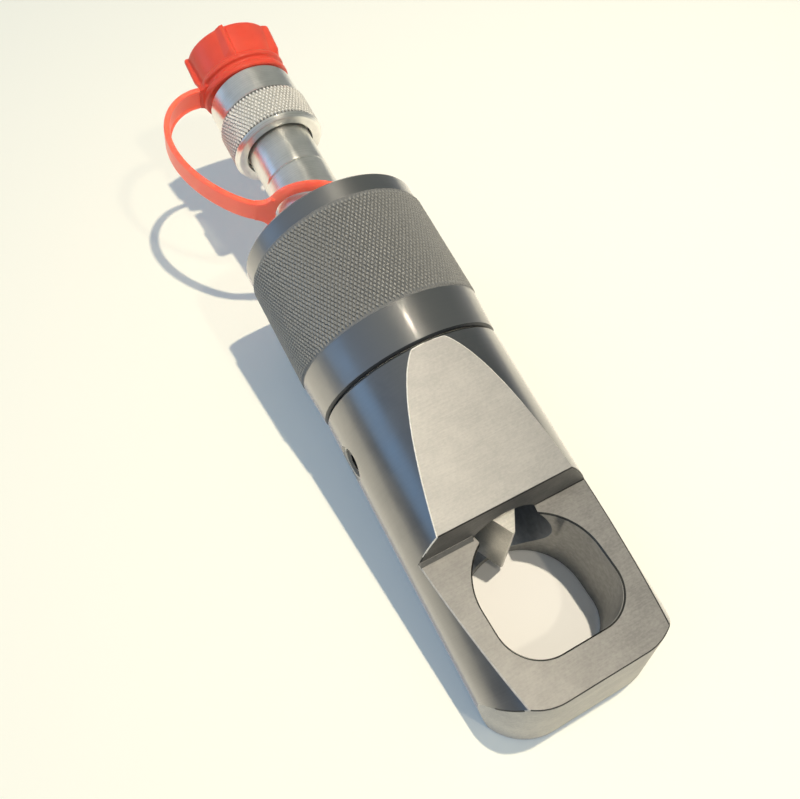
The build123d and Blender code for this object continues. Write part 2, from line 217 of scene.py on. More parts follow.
STRAP_PLANE = TOOL @ Matrix.Rotation(STRAP_ANGLE, 4, "X")

# The strap's curve bends towards these places, as shares of its span and of its rise
STRAP_PULLS = ((0.0, 0.485), (0.116, 1.075), (0.44, 1.634))

# Grain in millimetres and smoothing passes of the two mouldings
CAP_GRAIN = 0.275
CAP_SMOOTHING = 4
STRAP_GRAIN = 0.21
STRAP_SMOOTHING = 5

# Camera at the photograph's viewing angle, in metres
CAMERA_PLACE = (0.089584, -0.080394, 0.257200)
CAMERA_RIGHT = (0.484611, 0.874493, 0.020343)
CAMERA_UP = (-0.744696, 0.400258, 0.534061)
CAMERA_BACK = (0.458890, -0.273961, 0.845201)
LENS = 36.08

# Warm lamp above the bench, which shows in reflections by its glint's share, and a fainter one to its right
LAMP_PLACE = (-0.006, 0.1412, 0.7519)
LAMP_POWER = 17.0
LAMP_GLINT = 0.17
LAMP_RADIUS = 0.009
LAMP_COLOUR = (1.0, 0.885, 0.70)
SIDE_LAMP_PLACE = (0.345, 0.176, 0.750)
SIDE_LAMP_POWER = 3.2
SIDE_LAMP_RADIUS = 0.02

# Cool surroundings from +Y, at 0, to -Y, at 1, with a blue window whose rim fades between two cosines
SURROUNDINGS = (
    (0.0, (0.16, 0.17, 0.17)),
    (0.10, (0.22, 0.23, 0.215)),
    (0.33, (0.185, 0.195, 0.185)),
    (0.55, (0.32, 0.335, 0.335)),
    (0.70, (0.32, 0.345, 0.36)),
    (0.87, (0.27, 0.31, 0.37)),
    (1.0, (0.28, 0.35, 0.44)),
)
SURROUNDINGS_STRENGTH = 1.3
WINDOW_WAY = (-0.22, -0.95, 0.23)
WINDOW_COLOUR = (0.26, 0.56, 1.0)
WINDOW_RIM = (0.955, 0.993)

# Pale sheet under the tool. The camera sees a haze over it and reflections see its glow, up to a
# slanted near end and a far end, past which reflections see a darker bench.
FLOOR_HALF = 2.0
FLOOR_LEVEL = -0.0002
FLOOR_COLOUR = (0.93, 0.91, 0.76)
FLOOR_HAZE = (0.04, 0.085, 0.16)
SHEET_GLOW = (0.19, 0.185, 0.235)
SHEET_SLANT = -0.8
SHEET_END = (-0.095, -0.125)
SHEET_FAR_END = (0.17, 0.23)
BEYOND_SHEET = (0.36, 0.39, 0.45)

# Painted light: a whiter floor without haze under the nut's opening, which fades out between two distances
OPENING_MIDDLE = (0.041, 0.0, 0.0)
OPENING_FADE = (0.022, 0.028)
OPENING_LIGHT_PATCH = (0.97, 0.97, 0.96)


def feed(tree, node, sources):
    """Feeds the node's inputs, each with another node's output or with a plain value."""
    for label, source in sources.items():
        if isinstance(source, bpy.types.NodeSocket):
            tree.links.new(source, node.inputs[label])
        else:
            node.inputs[label].default_value = source
    return node


def fed_node(tree, kind, sources):
    return feed(tree, tree.nodes.new(kind), sources)


def math_output(tree, operation, *sources):
    node = fed_node(tree, "ShaderNodeMath", dict(enumerate(sources)))
    node.operation = operation
    return node.outputs["Value"]


def opaque(colour):
    """A colour with its alpha; a pattern is passed on as it is."""
    return (*colour, 1.0) if isinstance(colour, tuple) else colour


class Finish:
    """A surface finish under construction: its shader, and the patterns that vary it."""

    def __init__(self, name, colour, metallic, roughness, tool_frame=True):
        self.material = bpy.data.materials.new(name)
        self.material.use_nodes = True
        self.tree = self.material.node_tree
        self.shader = self.tree.nodes["Principled BSDF"]
        self.set("Base Color", opaque(colour))
        self.set("Metallic", metallic)
        self.set("Roughness", roughness)
        self.place = self.tree.nodes.new("ShaderNodeTexCoord").outputs["Object"]
        if tool_frame:
            turned = {"Location": MM * PART_ORIGIN, "Rotation": (0.0, -JAW_TILT, 0.0)}
            self.place = self.add("ShaderNodeMapping", {"Vector": self.place, **turned}).outputs["Vector"]

    def add(self, kind, sources):
        return fed_node(self.tree, kind, sources)

    def set(self, socket, source):
        """Feeds one input of the shader with a plain value or a pattern."""
        feed(self.tree, self.shader, {socket: source})

    def grain(self, stretch, detail=3.0, rough=0.55):
        """Noise with its own scale along each axis, in cycles per metre."""
        place = self.add("ShaderNodeMapping", {"Vector": self.place, "Scale": stretch}).outputs["Vector"]
        form = {"Scale": 1.0, "Detail": detail, "Roughness": rough}
        return self.add("ShaderNodeTexNoise", {"Vector": place, **form}).outputs["Fac"]

    def even_grain(self, scale, detail=3.0):
        return self.grain((scale, scale, scale), detail)

    def stretched(self, value, low, high, to_low=0.0, to_high=1.0):
        """A pattern's values taken from one range to another, and held there."""
        limits = {"From Min": low, "From Max": high, "To Min": to_low, "To Max": to_high}
        return self.add("ShaderNodeMapRange", {"Value": value, **limits}).outputs["Result"]

    def maths(self, operation, first, second):
        return math_output(self.tree, operation, first, second)

    def blended(self, *shares):
        """Patterns added up, each times its share."""
        total = None
        for pattern, share in shares:
            part = self.maths("MULTIPLY", pattern, share)
            total = part if total is None else self.maths("ADD", total, part)
        return total

    def along(self, axis):
        """One coordinate of the finish's frame, in metres."""
        return self.add("ShaderNodeSeparateXYZ", {"Vector": self.place}).outputs[axis]

    def mixed(self, factor, first, second):
        """One colour or the other by a pattern's value; each may be a pattern too."""
        mix = self.tree.nodes.new("ShaderNodeMix")
        mix.data_type = "RGBA"
        feed(self.tree, mix, {0: factor, 6: opaque(first), 7: opaque(second)})
        return mix.outputs[2]

    def shade(self, factor, dark, light):
        """Colour that runs from dark to light with a pattern's value."""
        ramp = self.add("ShaderNodeValToRGB", {"Fac": factor})
        for point, colour in zip(ramp.color_ramp.elements, (dark, light)):
            point.color = opaque(colour)
        self.set("Base Color", ramp.outputs["Color"])

    def brushed(self, amount, way):
        """Highlights drawn out along the given way, across the tool marks."""
        self.set("Anisotropic", amount)
        direction = self.add("ShaderNodeCombineXYZ", dict(enumerate(way)))
        self.set("Tangent", direction.outputs["Vector"])

    def bump(self, height, distance, strength=1.0):
        """Relief of the surface, with its depth in metres."""
        relief = self.add("ShaderNodeBump", {"Height": height, "Distance": distance, "Strength": strength})
        self.set("Normal", relief.outputs["Normal"])


def turned_steel(name, dark, light, roughness, line_depth, painted_shade_depth=0.0):
    """Steel off the lathe under its oiled oxide, with painted shade that makes it darker towards the jaw and
    lighter away from it.
    """
    finish = Finish(name, light, 1.0, roughness)
    finish.brushed(0.84, RAM_WAY)
    finish.set("Coat Weight", 1.0)
    finish.set("Coat Roughness", 0.13)
    finish.set("Coat IOR", 1.33)
    rings = finish.grain((2600.0, 6.0, 6.0), 4.0)
    mottle = finish.even_grain(90.0, 4.0)
    tone = finish.blended((rings, 0.2), (mottle, 0.8))
    # Painted shade along the axis: darker towards the jaw, lighter away from it
    painted_shade = finish.stretched(finish.along("X"), -0.01, 0.09, painted_shade_depth, -painted_shade_depth)
    finish.shade(finish.maths("ADD", finish.stretched(tone, 0.32, 0.68, 0.3, 0.7), painted_shade), dark, light)
    finish.set("Roughness", finish.stretched(mottle, 0.3, 0.7, roughness - 0.05, roughness + 0.06))
    finish.bump(rings, line_depth)
    return finish.material


def ground_steel(name, dark, light, metallic, roughness, across, lines, scatter=(1.0, 0.0, 0.0)):
    """A face off the surface grinder: straight marks, so many to a metre and so much longer than wide."""
    finish = Finish(name, light, metallic, roughness, tool_frame=False)
    finish.brushed(0.6, scatter)
    fine = finish.grain((lines, lines / across, lines))
    speckle = finish.grain((1500.0, 900.0, 1500.0), 3.0, 0.65)
    mottle = finish.grain((160.0, 120.0, 160.0), 4.0, 0.6)
    tone = finish.blended((fine, 0.24), (speckle, 0.42), (mottle, 0.34))
    finish.shade(finish.stretched(tone, 0.40, 0.60), dark, light)
    finish.set("Roughness", finish.stretched(speckle, 0.3, 0.7, roughness - 0.04, roughness + 0.04))
    finish.bump(finish.maths("ADD", fine, speckle), 0.000005)
    return finish.material


def plain_finish(name, colour, metallic, roughness, grain_scale=900.0, depth=0.000008):
    """An even finish with a fine grain, for seals, springs, screws, knurls and the inside."""
    finish = Finish(name, colour, metallic, roughness)
    grain = finish.even_grain(grain_scale)
    dark = tuple(0.78 * c for c in colour)
    finish.shade(finish.stretched(grain, 0.35, 0.65), dark, colour)
    finish.bump(grain, depth)
    return finish.material


def zinc_plate():
    """Bright zinc plate on turned steel, with the shallow dents of use."""
    dull, bright = (0.70, 0.71, 0.67), (1.0, 1.0, 0.96)
    finish = Finish("zinc_plate", bright, 0.95, 0.40)
    finish.brushed(0.72, RAM_WAY)
    rings = finish.grain((3200.0, 4.0, 4.0))
    cloud = finish.even_grain(120.0, 4.0)
    finish.shade(finish.stretched(finish.blended((rings, 0.5), (cloud, 0.5)), 0.35, 0.65), dull, bright)
    finish.set("Roughness", finish.stretched(cloud, 0.3, 0.7, 0.28, 0.42))
    dents = finish.grain((70.0, 380.0, 380.0))
    finish.bump(finish.maths("ADD", dents, finish.maths("MULTIPLY", rings, 0.1)), 0.00006)
    return finish.material


def soft_plastic(name, deep, pale, depth_share, reach, sheen_and_painted_glow):
    """Soft red plastic that light enters, satin, wavy as a moulding is; a moulding of little thickness gets
    more sheen and a painted glow, which stands in for the light it lets through.
    """
    finish = Finish(name, pale, 0.0, 0.32)
    finish.set("Subsurface Weight", depth_share)
    finish.set("Subsurface Radius", (reach, 0.22 * reach, 0.1 * reach))
    finish.set("Specular IOR Level", 0.36)
    finish.set("Sheen Weight", 2.0 * sheen_and_painted_glow)
    finish.set("Sheen Tint", opaque((1.0, 0.5, 0.42)))
    # Painted glow, which stands in for light let through a moulding of little thickness
    finish.set("Emission Color", opaque((1.0, 0.17, 0.11)))
    finish.set("Emission Strength", sheen_and_painted_glow)
    wave = finish.even_grain(110.0, 2.0)
    fine = finish.even_grain(1500.0)
    finish.shade(finish.stretched(wave, 0.3, 0.7), deep, pale)
    finish.set("Roughness", finish.stretched(fine, 0.3, 0.7, 0.27, 0.37))
    finish.bump(finish.maths("ADD", wave, finish.maths("MULTIPLY", fine, 0.08)), 0.0001, 0.6)
    return finish.material


# Turned steel: its dark and light tone, how rough it is, how deep its rings are, in metres, and how deep its
# painted shade towards the jaw is
FLANK = turned_steel("flank_steel", (0.16, 0.165, 0.17), (0.33, 0.33, 0.325), 0.39, 0.0000003, 0.3)
BAND = turned_steel("band_steel", (0.30, 0.305, 0.31), (0.42, 0.42, 0.415), 0.52, 0.0000006)

# Ground steel: its dark and light tone, then how metallic and how rough it is
MARKING_FLAT = ground_steel(
    "marking_flat", (0.42, 0.415, 0.405), (0.525, 0.515, 0.495), 0.5, 0.43, across=40.0, lines=2600.0)
JAW_FACE = ground_steel(
    "jaw_face", (0.29, 0.285, 0.275), (0.395, 0.385, 0.37), 0.6, 0.43, across=30.0, lines=2400.0)
FRONT_FACE = ground_steel(
    "front_face", (0.47, 0.46, 0.44), (0.62, 0.605, 0.565), 0.3, 0.5, across=40.0, lines=2400.0,
    scatter=(0.0, 0.0, 1.0))
SHOULDER = ground_steel(
    "shoulder_steel", (0.17, 0.17, 0.165), (0.24, 0.235, 0.225), 0.7, 0.46, across=40.0, lines=2000.0)
BLADE = ground_steel(
    "blade_steel", (0.42, 0.415, 0.39), (0.58, 0.57, 0.53), 0.95, 0.34, across=30.0, lines=2600.0)

# Even finishes: colour, then how metallic and how rough it is, and the grain's scale
OPENING_WALL = plain_finish("opening_wall", (0.29, 0.29, 0.28), 0.8, 0.46, 700.0)
# Near-black painted shade on the broken edge of the nut's opening
OPENING_EDGE_SHADE = plain_finish("opening_edge_shade", (0.07, 0.07, 0.065), 0.8, 0.42)
BORE = plain_finish("bore_wall", (0.27, 0.30, 0.35), 0.7, 0.42, 500.0)
# Near-white painted highlight on the bevels round the inclined flat and at the joint, and on the bead along
# the flat
FLAT_EDGE_HIGHLIGHT = plain_finish("flat_edge_highlight", (0.97, 0.95, 0.90), 0.1, 0.4, 1200.0)
# Near-black painted shade on the jaw's other worn edges
JAW_EDGE_SHADE = plain_finish("jaw_edge_shade", (0.06, 0.06, 0.06), 0.6, 0.42, 1200.0)
# Pale ground colour of the screw's spot face, also a painted highlight on the jaw's left edges
SPOT_FACE_AND_EDGE_HIGHLIGHT = plain_finish("spot_face_and_edge_highlight", (0.62, 0.60, 0.56), 0.3, 0.5, 1400.0)
# Knurl of the cylinder: its flanks, a painted highlight on its crests and painted shade in its valleys
KNURL_SIDE = plain_finish("knurl_flank", (0.33, 0.335, 0.33), 0.35, 0.5, 1400.0)
KNURL_CREST_HIGHLIGHT = plain_finish("knurl_crest_highlight", (0.38, 0.38, 0.365), 0.35, 0.5, 1400.0)
KNURL_VALLEY_SHADE = plain_finish("knurl_valley_shade", (0.25, 0.255, 0.255), 0.35, 0.5, 1400.0)
ZINC = zinc_plate()
# Knurl of the collar: a painted highlight on its crests, its flanks, and painted shade in its valleys
ZINC_CREST_HIGHLIGHT = plain_finish("zinc_crest_highlight", (1.0, 0.99, 0.95), 0.15, 0.36, 1400.0)
ZINC_SIDE = plain_finish("zinc_side", (0.74, 0.73, 0.69), 0.4, 0.38, 1400.0)
ZINC_VALLEY_SHADE = plain_finish("zinc_valley_shade", (0.24, 0.24, 0.225), 0.6, 0.4, 1400.0)
SPRING_STEEL = plain_finish("spring_steel", (0.48, 0.48, 0.47), 1.0, 0.3)
# Dark oxide of the screws, also painted shade on the cylinder's rim at its joint with the head
SCREW_OXIDE_AND_JOINT_SHADE = plain_finish("screw_oxide_and_joint_shade", (0.09, 0.095, 0.10), 1.0, 0.42)
RUBBER = plain_finish("seal_rubber", (0.022, 0.022, 0.024), 0.0, 0.62, 1100.0, 0.00002)
SEAL_PLASTIC = plain_finish("seal_plastic", (0.36, 0.30, 0.19), 0.0, 0.5)
# Red mouldings: deep and pale colour, the share and reach of light under the surface, and how much sheen and
# painted glow they get
CAP_PLASTIC = soft_plastic("cap_moulding", (0.66, 0.068, 0.040), (0.73, 0.086, 0.048), 0.45, 0.006, 0.05)
STRAP_PLASTIC = soft_plastic("strap_moulding", (0.90, 0.16, 0.10), (0.96, 0.195, 0.125), 1.0, 0.03, 0.17)

NODE_FINISHES = (
    (FLANK, ["head"]),
    (BAND, ["cylinder"]),
    (BLADE, ["chisel"]),
    (SCREW_OXIDE_AND_JOINT_SHADE, ["chisel_bolt", "set_screw"]),
    (ZINC, ["stem", "coupler_body", "collar"]),
    (SPRING_STEEL, ["piston", "return_spring", "spring_washer", "collar_ring", "poppet", "poppet_spring"]),
    (RUBBER, ["piston_seal", "bolt_seal", "stem_oring", "stem_gasket", "poppet_seal"]),
    (SEAL_PLASTIC, ["wear_ring", "backup_ring"]),
    (CAP_PLASTIC, ["dust_cap"]),
    (STRAP_PLASTIC, ["strap", "strap_ring"]),
)


def dress_nodes():
    for finish, names in NODE_FINISHES:
        for name in names:
            slots = nodes[name].data.materials
            if not slots:
                slots.append(finish)
            for i in range(len(slots)):
                slots[i] = finish


def mesh_object(name, mesh):
    piece = bpy.data.objects.new(name, mesh)
    bpy.context.scene.collection.objects.link(piece)
    return piece


def mesh_from(shape, name):
    """A mesh from the shape, which is used up."""
    mesh = bpy.data.meshes.new(name)
    shape.to_mesh(mesh)
    shape.free()
    return mesh


def closed_mesh(shape, name):
    """A mesh from a closed shape, with its faces turned outwards."""
    bmesh.ops.recalc_face_normals(shape, faces=shape.faces)
    return mesh_from(shape, name)


def merged_copy(node):
    """A node's skin as a shape of its own, with its loose facets joined at their corners."""
    shape = bmesh.new()
    shape.from_mesh(nodes[node].data)
    bmesh.ops.remove_doubles(shape, verts=shape.verts, dist=MERGE)
    return shape


def add_sweep(shape, sections):
    """Skins a row of sections, each a ring of places, and closes both ends."""
    rings = [[shape.verts.new(place) for place in section] for section in sections]
    for here, there in zip(rings, rings[1:]):
        for i in range(len(here)):
            j = (i + 1) % len(here)
            shape.faces.new((here[i], here[j], there[j], there[i]))
    shape.faces.new(rings[0])
    shape.faces.new(list(reversed(rings[-1])))


def swept(name, sections):
    shape = bmesh.new()
    add_sweep(shape, sections)
    return closed_mesh(shape, name)


def slab(outline, depth, place):
    """A flat outline thickened evenly to both sides and put in its place."""
    mesh = swept("slab", [[(x, y, z) for x, y in outline] for z in (-depth / 2, depth / 2)])
    mesh.transform(place)
    return mesh


def softened(outline, radius, steps=3):
    """The outline with its corners rounded, each by no more than a third of its shorter side."""
    points = []
    count = len(outline)
    for i, corner in enumerate(outline):
        corner = Vector(corner)
        before = Vector(outline[i - 1]) - corner
        after = Vector(outline[(i + 1) % count]) - corner
        reach = min(radius, before.length / 3, after.length / 3)
        start = corner + before.normalized() * reach
        end = corner + after.normalized() * reach
        for k in range(steps + 1):
            t = k / steps
            points.append(start * (1 - t) ** 2 + corner * 2 * t * (1 - t) + end * t * t)
    return points


def lathe(outline, steps):
    """A closed surface of revolution about the X axis, from (x, r) points; r = 0 closes at the axis."""
    shape = bmesh.new()
    columns = []
    for k in range(steps):
        angle = 2 * pi * k / steps
        columns.append([shape.verts.new((x, r * cos(angle), r * sin(angle))) for x, r in outline])
    count = len(outline)
    for k in range(steps):
        here, there = columns[k], columns[(k + 1) % steps]
        for i in range(count):
            j = (i + 1) % count
            if outline[i][1] < 1e-6 and outline[j][1] < 1e-6:
                continue
            shape.faces.new((here[i], here[j], there[j], there[i]))
    bmesh.ops.remove_doubles(shape, verts=shape.verts, dist=1e-5)
    bmesh.ops.dissolve_degenerate(shape, edges=shape.edges, dist=1e-6)
    return closed_mesh(shape, "lathe")


def joined(name, *meshes):
    """One mesh from several, with the material slots of each kept."""
    shape = bmesh.new()
    materials = []
    for mesh in meshes:
        first = len(shape.faces)
        shape.from_mesh(mesh)
        shape.faces.ensure_lookup_table()
        slots = list(mesh.materials)
        for material in slots:
            if material not in materials:
                materials.append(material)
        for face in shape.faces[first:]:
            face.material_index = materials.index(slots[face.material_index])
    whole = mesh_from(shape, name)
    for material in materials:
        whole.materials.append(material)
    return whole


def shaded(mesh, angle):
    """Smooth shading that keeps the edges sharper than the angle, in degrees."""
    mesh.shade_smooth()
    mesh.set_sharp_from_angle(angle=radians(angle))
    return mesh


def evaluated_mesh(piece):
    """The piece with its modifiers applied, as a plain mesh; the piece itself is removed."""
    bpy.context.view_layer.update()
    graph = bpy.context.evaluated_depsgraph_get()
    mesh = bpy.data.meshes.new_from_object(piece.evaluated_get(graph))
    bpy.data.objects.remove(piece)
    return mesh


def knurl_tree():
    """Node tree that stands four-sided diamonds in staggered rows round the X axis."""
    tree = bpy.data.node_groups.new("knurl_diamonds", "GeometryNodeTree")
    sockets = {}
    for kind, labels in (
        ("NodeSocketInt", ["Around", "Rows"]),
        ("NodeSocketFloat", ["First Row", "Row Step", "Root Radius", "Height", "Crest Share"]),
        ("NodeSocketMaterial", ["Side", "Crest"]),
    ):
        for label in labels:
            socket = tree.interface.new_socket(label, in_out="INPUT", socket_type=kind)
            sockets[label] = socket.identifier
    tree.interface.new_socket("Geometry", in_out="OUTPUT", socket_type="NodeSocketGeometry")
    given = tree.nodes.new("NodeGroupInput").outputs

    def value(operation, *sources):
        return math_output(tree, operation, *sources)

    def vector(*sources):
        return fed_node(tree, "ShaderNodeCombineXYZ", dict(enumerate(sources))).outputs["Vector"]

    number = tree.nodes.new("GeometryNodeInputIndex").outputs["Index"]
    row = value("FLOOR", value("DIVIDE", number, given["Around"]))
    column = value("SUBTRACT", number, value("MULTIPLY", row, given["Around"]))
    shift = value("MULTIPLY", value("MODULO", row, 2.0), 0.5)
    spacing = value("DIVIDE", 2 * pi, given["Around"])
    angle = value("MULTIPLY", value("ADD", column, shift), spacing)
    across = value("MULTIPLY", given["Root Radius"], value("COSINE", angle))
    up = value("MULTIPLY", given["Root Radius"], value("SINE", angle))
    along = value("ADD", given["First Row"], value("MULTIPLY", row, given["Row Step"]))
    points = fed_node(tree, "GeometryNodePoints", {
        "Count": value("MULTIPLY", given["Around"], given["Rows"]),
        "Position": vector(along, across, up),
    })
    diamond = fed_node(tree, "GeometryNodeMeshCone", {
        "Vertices": 4,
        "Radius Bottom": 1.0,
        "Depth": 1.0,
        "Radius Top": given["Crest Share"],
    })
    outwards = vector(value("SUBTRACT", angle, pi / 2), 0.0, 0.0)
    half_width = value("MULTIPLY", given["Root Radius"], value("MULTIPLY", spacing, 0.5))
    stand = fed_node(tree, "GeometryNodeInstanceOnPoints", {
        "Points": points.outputs["Points"],
        "Instance": diamond.outputs["Mesh"],
        "Rotation": fed_node(tree, "FunctionNodeEulerToRotation", {"Euler": outwards}).outputs["Rotation"],
        "Scale": vector(given["Row Step"], half_width, given["Height"]),
    })
    real = fed_node(tree, "GeometryNodeRealizeInstances", {"Geometry": stand.outputs["Instances"]})
    side = fed_node(tree, "GeometryNodeSetMaterial", {
        "Geometry": real.outputs["Geometry"],
        "Material": given["Side"],
    })
    crest = fed_node(tree, "GeometryNodeSetMaterial", {
        "Geometry": side.outputs["Geometry"],
        "Selection": diamond.outputs["Top"],
        "Material": given["Crest"],
    })
    fed_node(tree, "NodeGroupOutput", {"Geometry": crest.outputs["Geometry"]})
    return tree, sockets


KNURL_TREE, KNURL_SOCKETS = knurl_tree()


def knurl(around, start, end, root_r, crest_r, side, crest):
    """Diamonds of a knurled band between two places on the axis, in millimetres."""
    rows = int((end - start) / DIAMOND_STEP) - 1
    first = (start + end - (rows - 1) * DIAMOND_STEP) / 2
    piece = mesh_object("knurl", bpy.data.meshes.new("knurl"))
    modifier = piece.modifiers.new("knurl", "NODES")
    modifier.node_group = KNURL_TREE
    for label, value in (
        ("Around", around),
        ("Rows", rows),
        ("First Row", first),
        ("Row Step", DIAMOND_STEP),
        ("Root Radius", root_r),
        ("Height", crest_r - root_r),
        ("Crest Share", CREST_SHARE),
        ("Side", side),
        ("Crest", crest),
    ):
        modifier[KNURL_SOCKETS[label]] = value
    return evaluated_mesh(piece)


def cylinder_sleeve():
    """Knurled cylinder with its plain top band and conical heel, hollow as the solid is."""
    valley_from, valley_to = KNURL_FROM - 0.3, KNURL_TO + 0.3
    outline = [
        (CYLINDER_TOP, TOP_BAND_R - TOP_CHAMFER),
        (CYLINDER_TOP + TOP_CHAMFER, TOP_BAND_R),
        (valley_from - 0.2, TOP_BAND_R),
        (valley_from, KNURL_VALLEY_R),
        (valley_to, KNURL_VALLEY_R),
        (valley_to + 0.1, HEEL_R + 0.1),
        (HEEL_AT, HEEL_R),
        (-RIM_CHAMFER, RIM_R),
        (0.0, RIM_R - RIM_CHAMFER),
        (0.0, SPIGOT_HOLE_R),
        (SPIGOT_HOLE_END, SPIGOT_HOLE_R),
        (SPIGOT_HOLE_END, CYLINDER_BORE_R),
        (CYLINDER_BORE_END, CYLINDER_BORE_R),
        (CYLINDER_BORE_END, PORT_R),
        (STEM_HOLE_END, PORT_R),
        (STEM_HOLE_END, STEM_HOLE_R),
        (CYLINDER_TOP + GASKET_T, STEM_HOLE_R),
        (CYLINDER_TOP + GASKET_T, GASKET_SEAT_R),
        (CYLINDER_TOP, GASKET_SEAT_R),
    ]
    body = lathe(softened(outline, 0.3), 256)
    finishes = [BAND, KNURL_VALLEY_SHADE, SCREW_OXIDE_AND_JOINT_SHADE]
    for finish in finishes:
        body.materials.append(finish)
    for face in body.polygons:
        outside = hypot(face.center.y, face.center.z) > HEAD_R
        # Between the diamonds: painted shade
        if valley_from < face.center.x < valley_to and outside:
            face.material_index = finishes.index(KNURL_VALLEY_SHADE)
        # The rim's chamfer and end face at the joint with the head: painted shade
        elif face.center.x > 0.05 - RIM_CHAMFER:
            face.material_index = finishes.index(SCREW_OXIDE_AND_JOINT_SHADE)
    shaded(body, 35)
    diamonds = knurl(CYLINDER_AROUND, KNURL_FROM, KNURL_TO, KNURL_VALLEY_R, KNURL_R, KNURL_SIDE, KNURL_CREST_HIGHLIGHT)
    mesh = joined("cylinder_sleeve", body, diamonds)
    mesh.transform(TOOL)
    return mesh_object("cylinder_sleeve", mesh)


def collar_sleeve():
    """Collar of the quick coupler: plain band, knurled band and chamfered mouth."""
    lip_end = COLLAR_LOW - COLLAR_LIP_LEN
    thread_end = COLLAR_TOP + 0.8 + COLLAR_THREAD_LEN
    knurl_from, knurl_to = COLLAR_BAND_AT + 0.9, COLLAR_LOW - 1.6
    outline = [
        (COLLAR_LOW, COLLAR_LIP_R),
        (COLLAR_LOW, COLLAR_R - COLLAR_EDGE),
        (COLLAR_LOW - COLLAR_EDGE, COLLAR_R),
        (knurl_to - 0.1, COLLAR_R),
        (knurl_to - 0.3, COLLAR_VALLEY_R),
        (knurl_from + 0.2, COLLAR_VALLEY_R),
        (COLLAR_BAND_AT, COLLAR_BAND_R),
        (COLLAR_TOP + 0.5, COLLAR_BAND_R),
        (COLLAR_TOP, COLLAR_BAND_R - 0.5),
        (COLLAR_TOP, COLLAR_THREAD_R + 0.8),
        (COLLAR_TOP + 0.8, COLLAR_THREAD_R),
        (thread_end, COLLAR_THREAD_R),
        (thread_end + 0.6, COLLAR_HOLLOW_R),
        (lip_end, COLLAR_HOLLOW_R),
        (lip_end, COLLAR_LIP_R),
    ]
    body = lathe(softened(outline, 0.25), 160)
    finishes = [ZINC, ZINC_VALLEY_SHADE]
    for finish in finishes:
        body.materials.append(finish)
    for face in body.polygons:
        outside = hypot(face.center.y, face.center.z) > COLLAR_BAND_R
        # Between the diamonds: painted shade
        if knurl_from < face.center.x < knurl_to - 0.2 and outside:
            face.material_index = finishes.index(ZINC_VALLEY_SHADE)
    shaded(body, 35)
    diamonds = knurl(COLLAR_AROUND, knurl_from, knurl_to, COLLAR_VALLEY_R, COLLAR_R, ZINC_SIDE, ZINC_CREST_HIGHLIGHT)
    mesh = joined("collar_sleeve", body, diamonds)
    mesh.transform(TOOL)
    return mesh_object("collar_sleeve", mesh)


def plated_piece(name, outline):
    """A turned and zinc-plated piece, from its closed half section."""
    mesh = lathe(softened(outline, 0.2), 160)
    mesh.materials.append(ZINC)
    shaded(mesh, 35)
    mesh.transform(TOOL)
    return mesh_object(name, mesh)


def stem_turned():
    """Stem with its thread, its foot flange, and the tail that carries the coupler."""
    thread_end = CYLINDER_TOP + GASKET_T + STEM_THREAD_LEN
    flange_top = CYLINDER_TOP - STEM_FLANGE_T
    groove_low = STEM_TOP - TAIL_LAND
    groove_top = groove_low - TAIL_GROOVE_W
    outline = [
        (thread_end, STEM_BORE_R),
        (thread_end, STEM_THREAD_R - 0.8),
        (thread_end - 0.8, STEM_THREAD_R),
        (CYLINDER_TOP, STEM_THREAD_R),
        (CYLINDER_TOP, STEM_FLANGE_R - 0.4),
        (CYLINDER_TOP - 0.4, STEM_FLANGE_R),
        (flange_top, STEM_FLANGE_R),
        (flange_top - 0.6, STEM_R),
        (STEM_TOP + 0.5, STEM_R),
        (STEM_TOP, STEM_R - 0.5),
        (STEM_TOP, TAIL_R),
        (groove_low, TAIL_R),
        (groove_low, TAIL_GROOVE_R),
        (groove_top, TAIL_GROOVE_R),
        (groove_top, TAIL_R),
        (STEM_TOP - TAIL_LEN, TAIL_R),
        (STEM_TOP - TAIL_LEN, STEM_BORE_R),
    ]
    return plated_piece("stem_turned", outline)


def coupler_turned():
    """Valve housing of the coupler, with the snap ring's groove and the seat at its nose."""
    groove = COLLAR_LOW - COLLAR_LIP_LEN - 0.3
    groove_end = groove - SNAP_GROOVE_W
    outline = [
        (STEM_TOP, SOCKET_R),
        (STEM_TOP, STEM_R - 0.5),
        (STEM_TOP - 0.5, STEM_R),
        (groove, STEM_R),
        (groove, SNAP_GROOVE_R),
        (groove_end, SNAP_GROOVE_R),
        (groove_end, STEM_R),
        (groove_end - 0.7, STEM_R),
        (groove_end - 1.6, NOSE_R),
        (COUPLER_TOP + 0.4, NOSE_R),
        (COUPLER_TOP, NOSE_R - 0.4),
        (COUPLER_TOP, SEAT_R),
        (SEAT_X, SEAT_R),
        (SEAT_X + SEAT_SLOPE, SOCKET_R),
    ]
    return plated_piece("coupler_turned", outline)


# Turns an outline in (r, w) so that its thickness lies along the tool's axis
FACE_ALONG_AXIS = Matrix(((0, 0, 1, 0), (1, 0, 0, 0), (0, 1, 0, 0), (0, 0, 0, 1)))


def flare(round_r, half_w, fillet_r, steps=8):
    """Outline, as (r, w), where a strap runs into a round rim through a hollow fillet on each side."""
    across = half_w + fillet_r
    out = sqrt((round_r + fillet_r) ** 2 - across ** 2)
    start = atan2(-across, -out)
    edge = []
    for k in range(steps + 1):
        angle = start + (-pi / 2 - start) * k / steps
        edge.append((out + fillet_r * cos(angle), across + fillet_r * sin(angle)))
    inner = edge[0][0] - 1.2
    return [(inner, -edge[0][1])] + [(r, -w) for r, w in edge] + list(reversed(edge)) + [(inner, edge[0][1])]


